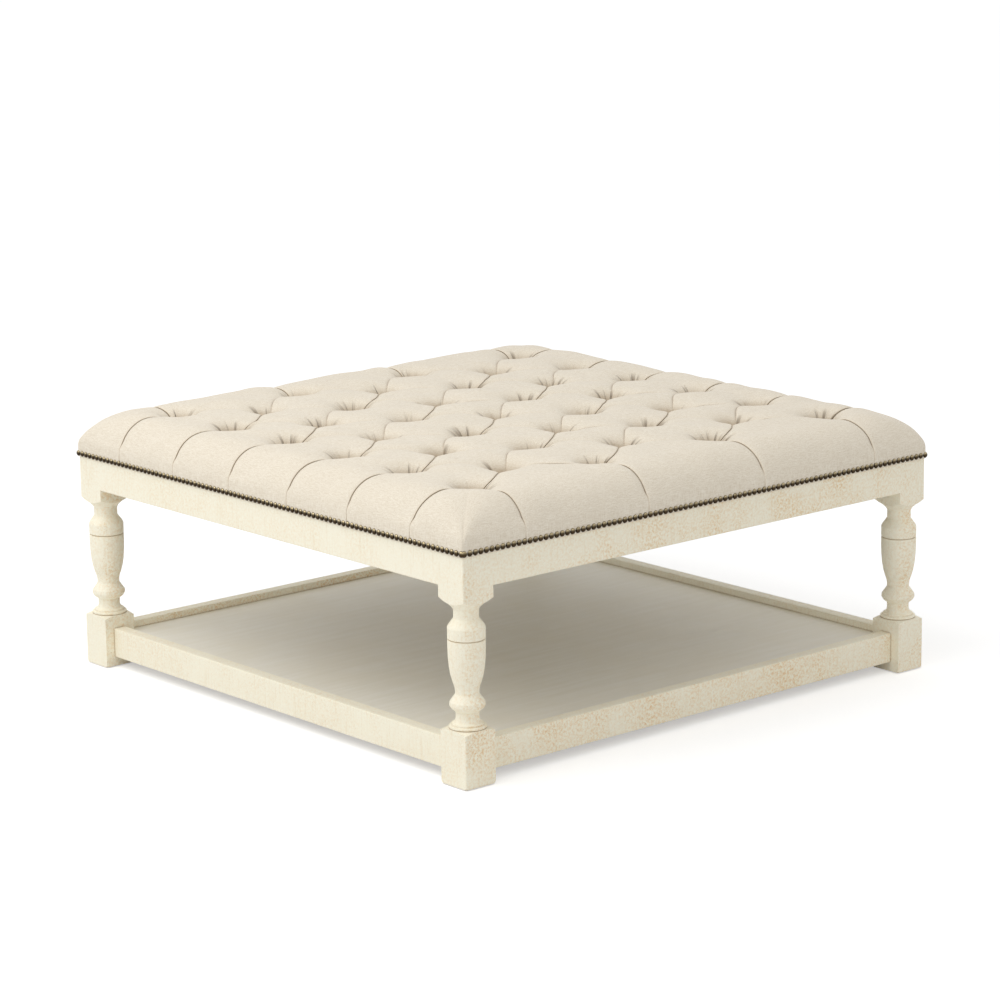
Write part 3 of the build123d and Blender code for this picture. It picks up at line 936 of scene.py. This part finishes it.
def tufted_cover():
    """The linen over its wadding, from the tufts to the skirt under the nails, closed over the deck."""
    patches = Patches()
    inner_cells(patches)
    side_bands(patches)
    corner_fans(patches)
    points, faces = patches.weld()
    vertices, painted_shade_share = tufted_form(points, np.random.default_rng(seed))
    made = piece("tufted_linen", "linen", vertices, faces)
    # Carried for the linen's colour: the pits' painted shade, and where each point lies from its tuft
    carried = made.data.attributes
    carried.new("pit", "FLOAT", "POINT").data.foreach_set("value", painted_shade_share)
    reach, turn = points["reach"][:, 0], points["turn"][:, 0]
    offset = np.column_stack([reach * np.cos(turn), reach * np.sin(turn), points["tuft"][:, 0]])
    carried.new("from_tuft", "FLOAT_VECTOR", "POINT").data.foreach_set("vector", offset.ravel())
    tidy_normals(made)
    subdivide(made)
    close_underside(made)
    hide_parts("tufted_cover")


def subdivide(made):
    """Smooths a piece by one subdivision, which stays in its mesh."""
    modifier = made.modifiers.new("soft", "SUBSURF")
    modifier.levels = 1
    graph = bpy.context.evaluated_depsgraph_get()
    smoothed = bpy.data.meshes.new_from_object(made.evaluated_get(graph))
    made.modifiers.remove(modifier)
    made.data = smoothed


def close_underside(made):
    """Turns the skirt's edge in against the frame, up to the deck and across it under the foam."""
    work = bmesh.new()
    work.from_mesh(made.data)
    edges = [edge for edge in work.edges if edge.is_boundary]
    inner = deck_high[0] + lining_gap
    for height in (None, deck_high[2] + lining_rise):
        grown = bmesh.ops.extrude_edge_only(work, edges=edges)["geom"]
        for vertex in (item for item in grown if isinstance(item, bmesh.types.BMVert)):
            for axis in (0, 1):
                vertex.co[axis] = max(-inner, min(inner, vertex.co[axis]))
            if height:
                vertex.co.z = height
        edges = [item for item in grown if isinstance(item, bmesh.types.BMEdge)]
    bmesh.ops.contextual_create(work, geom=edges)
    work.to_mesh(made.data)
    work.free()
    made.data.shade_smooth()


def heads(name, slot, section, sides, places, crown=None, smooth=True):
    """Small turned forms that are alike, such as nail heads, as one piece.

    section gives the radius and rise of each ring, from the seat up, and crown the rise of a dome's tip:
    without it the last ring is closed flat. Each place is a matrix, and a head rises along its Z axis.
    """
    turns = [2 * math.pi * number / sides for number in range(sides)]
    circle = [(math.cos(turn), math.sin(turn)) for turn in turns]
    points = [(radius * x, radius * y, rise) for radius, rise in section for x, y in circle]
    around = [(number, (number + 1) % sides) for number in range(sides)]
    last = (len(section) - 1) * sides
    head_faces = []
    for low in range(0, last, sides):
        head_faces += [(low + a, low + b, low + b + sides, low + a + sides) for a, b in around]
    head_faces.append(list(reversed(range(sides))))
    if crown is None:
        head_faces.append([last + number for number in range(sides)])
    else:
        head_faces += [(last + a, last + b, len(points)) for a, b in around]
        points.append((0, 0, crown))
    vertices = [place @ Vector(point) for place in places for point in points]
    faces = []
    for first in range(0, len(vertices), len(points)):
        faces += [[first + corner for corner in face] for face in head_faces]
    made = piece(name, slot, vertices, faces, smooth)
    tidy_normals(made)
    return made


def on_side(turn, along, out, height, outwards):
    """A place on the side of the table that lies so many quarter turns from the front.

    Its Z axis points away from the table where outwards is 1, and into it where outwards is -1.
    """
    rotate = Matrix.Rotation(math.pi / 2 * turn, 4, "Z")
    tilt = Matrix.Rotation(math.pi / 2 * outwards, 4, "X")
    return rotate @ Matrix.Translation((along, -out, height)) @ tilt


def tuft_buttons():
    """A covered button at the bottom of each pit, its linen drawn smooth over a low dome."""
    seat = top - pit_depth - basin_depth - button_sink
    places = [Matrix.Translation((*tuft_place(*tuft), seat)) for tuft in tuft_list()]
    made = heads("covered_buttons", "linen", button_section, button_sides, places, crown=button_crown)
    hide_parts("tuft_buttons")


def dust_cover():
    """The cloth stapled under the braces, notched round the legs and sagging a little."""
    reach = dust_high[0]
    notch = deck_high[0] - leg_width
    lines = np.concatenate([[-reach], np.linspace(-notch, notch, dust_lines), [reach]])
    vertices = []
    for x in lines:
        for y in lines:
            slack = (1 - (x / reach) ** 2) * (1 - (y / reach) ** 2)
            vertices.append((x, y, dust_high[2] - dust_gap - dust_sag * slack))
    count = len(lines)
    edges = (0, count - 2)
    faces = []
    for i in range(count - 1):
        for j in range(count - 1):
            if not (i in edges and j in edges):
                low = i * count + j
                faces.append((low, low + count, low + count + 1, low + 1))
    used = sorted({corner for face in faces for corner in face})
    place = {old: new for new, old in enumerate(used)}
    faces = [[place[corner] for corner in face] for face in faces]
    made = piece("dust_cloth_sheet", "dust_cloth", [vertices[k] for k in used], faces)
    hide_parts("dust_cover")


def cleat_screws():
    """The countersunk heads of the screws that hold the cleats to the shelf rails."""
    places = []
    for turn, name in enumerate(("front", "right", "back", "left")):
        low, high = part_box(f"shelf_cleat_{name}")
        across = 1 - turn % 2
        inner = min(abs(low[across]), abs(high[across]))
        height = (low[2] + high[2]) / 2
        places += [on_side(turn, along, inner, height, -1) for along in screw_places]
    heads("cleat_screw_heads", "steel", screw_section, screw_sides, places, smooth=False)


def tidy_normals(made):
    """Turns all faces outwards, which is up on the whole where the surface is open at the bottom."""
    work = bmesh.new()
    work.from_mesh(made.data)
    bmesh.ops.recalc_face_normals(work, faces=work.faces)
    is_open = any(edge.is_boundary for edge in work.edges)
    if is_open and sum(face.normal.z * face.calc_area() for face in work.faces) < 0:
        bmesh.ops.reverse_faces(work, faces=work.faces)
    work.to_mesh(made.data)
    work.free()


def nails():
    """The row of domed nails round the top, head by head."""
    section = [(nail_radius * share, nail_crown * rise) for share, rise in nail_shares]
    places = []
    for turn, (half_length, out) in enumerate(((half_x, half_y), (half_y, half_x)) * 2):
        count = round(2 * half_length / nail_spacing)
        step = (2 * half_length - nail_spacing / 2) / (count - 1)
        for number in range(count):
            along = number * step + nail_spacing / 4 - half_length
            places.append(on_side(turn, along, out, nail_height, 1))
    heads("upholstery_nails", "antique_brass", section, nail_sides, places, crown=nail_crown)


def seen_share(nodes, links):
    """1 for what the camera sees, straight or in gloss or glass, and 0 for what lights the table."""
    path = nodes.new("ShaderNodeLightPath")
    seen = path.outputs["Is Camera Ray"]
    for name in ("Is Glossy Ray", "Is Transmission Ray"):
        either = nodes.new("ShaderNodeMath")
        either.operation = "MAXIMUM"
        links.new(seen, either.inputs[0])
        links.new(path.outputs[name], either.inputs[1])
        seen = either.outputs[0]
    return seen


def light():
    """A soft key from above and the left, and an even white surround."""
    world = bpy.data.worlds.new("surround")
    bpy.context.scene.world = world
    world.use_nodes = True
    nodes = world.node_tree.nodes
    links = world.node_tree.links
    level = nodes.new("ShaderNodeMapRange")
    level.inputs["To Min"].default_value = surround_level
    level.inputs["To Max"].default_value = 1.0
    links.new(seen_share(nodes, links), level.inputs["Value"])
    links.new(level.outputs["Result"], nodes["Background"].inputs["Strength"])
    nodes["Background"].inputs["Color"].default_value = (1, 1, 1, 1)
    data = bpy.data.lights.new("key", "AREA")
    data.shape = "RECTANGLE"
    data.size = key_size
    data.size_y = key_size
    data.energy = key_power
    lamp = bpy.data.objects.new("key", data)
    bpy.context.scene.collection.objects.link(lamp)
    lamp.location = key_place
    lamp.rotation_euler = (Vector(key_aim) - lamp.location).to_track_quat("-Z", "Y").to_euler()


def floor():
    """A pale floor that turns white where it is lit and keeps the table's shadow."""
    corners = [(-floor_half, -floor_half, 0), (floor_half, -floor_half, 0)]
    corners += [(floor_half, floor_half, 0), (-floor_half, floor_half, 0)]
    mesh = bpy.data.meshes.new("floor")
    mesh.from_pydata(corners, [], [(0, 1, 2, 3)])
    made = bpy.data.objects.new("floor", mesh)
    bpy.context.scene.collection.objects.link(made)
    g = Graph("floor")
    diffuse = g.new("ShaderNodeBsdfDiffuse")
    diffuse.inputs["Color"].default_value = (floor_grey, floor_grey, floor_grey, 1)
    glow = g.new("ShaderNodeEmission")
    glow.inputs["Color"].default_value = (1, 1, 1, 1)
    g.put(glow.inputs["Strength"], g.ramp(seen_share(g.nodes, g.links), 0, 1, 0.0, floor_glow))
    both = g.new("ShaderNodeAddShader")
    g.links.new(diffuse.outputs[0], both.inputs[0])
    g.links.new(glow.outputs[0], both.inputs[1])
    g.links.new(both.outputs[0], g.nodes["Material Output"].inputs["Surface"])
    g.nodes.remove(g.shader)
    mesh.materials.append(g.material)


def camera():
    """The photograph's view: from the front left corner, a little above the top."""
    sine, cosine = math.sin(camera_azimuth), math.cos(camera_azimuth)
    level = math.cos(camera_elevation)
    back = Vector((sine * level, -cosine * level, math.sin(camera_elevation)))
    right = Vector((cosine, sine, 0))
    up = back.cross(right)
    place = back * camera_distance + right * camera_aside + up * camera_rise
    rolled_right = right * math.cos(camera_roll) + up * math.sin(camera_roll)
    rolled_up = up * math.cos(camera_roll) - right * math.sin(camera_roll)
    data = bpy.data.cameras.new("camera")
    data.lens = camera_lens
    data.sensor_width = camera_sensor
    data.clip_end = camera_clip
    made = bpy.data.objects.new("camera", data)
    bpy.context.scene.collection.objects.link(made)
    turned = Matrix((rolled_right, rolled_up, back)).transposed().to_4x4()
    made.matrix_world = Matrix.Translation(place) @ turned
    bpy.context.scene.camera = made


dress_frame()
tufted_cover()
tuft_buttons()
dust_cover()
cleat_screws()
nails()
light()
floor()
camera()
bpy.context.scene.view_settings.view_transform = "Standard"
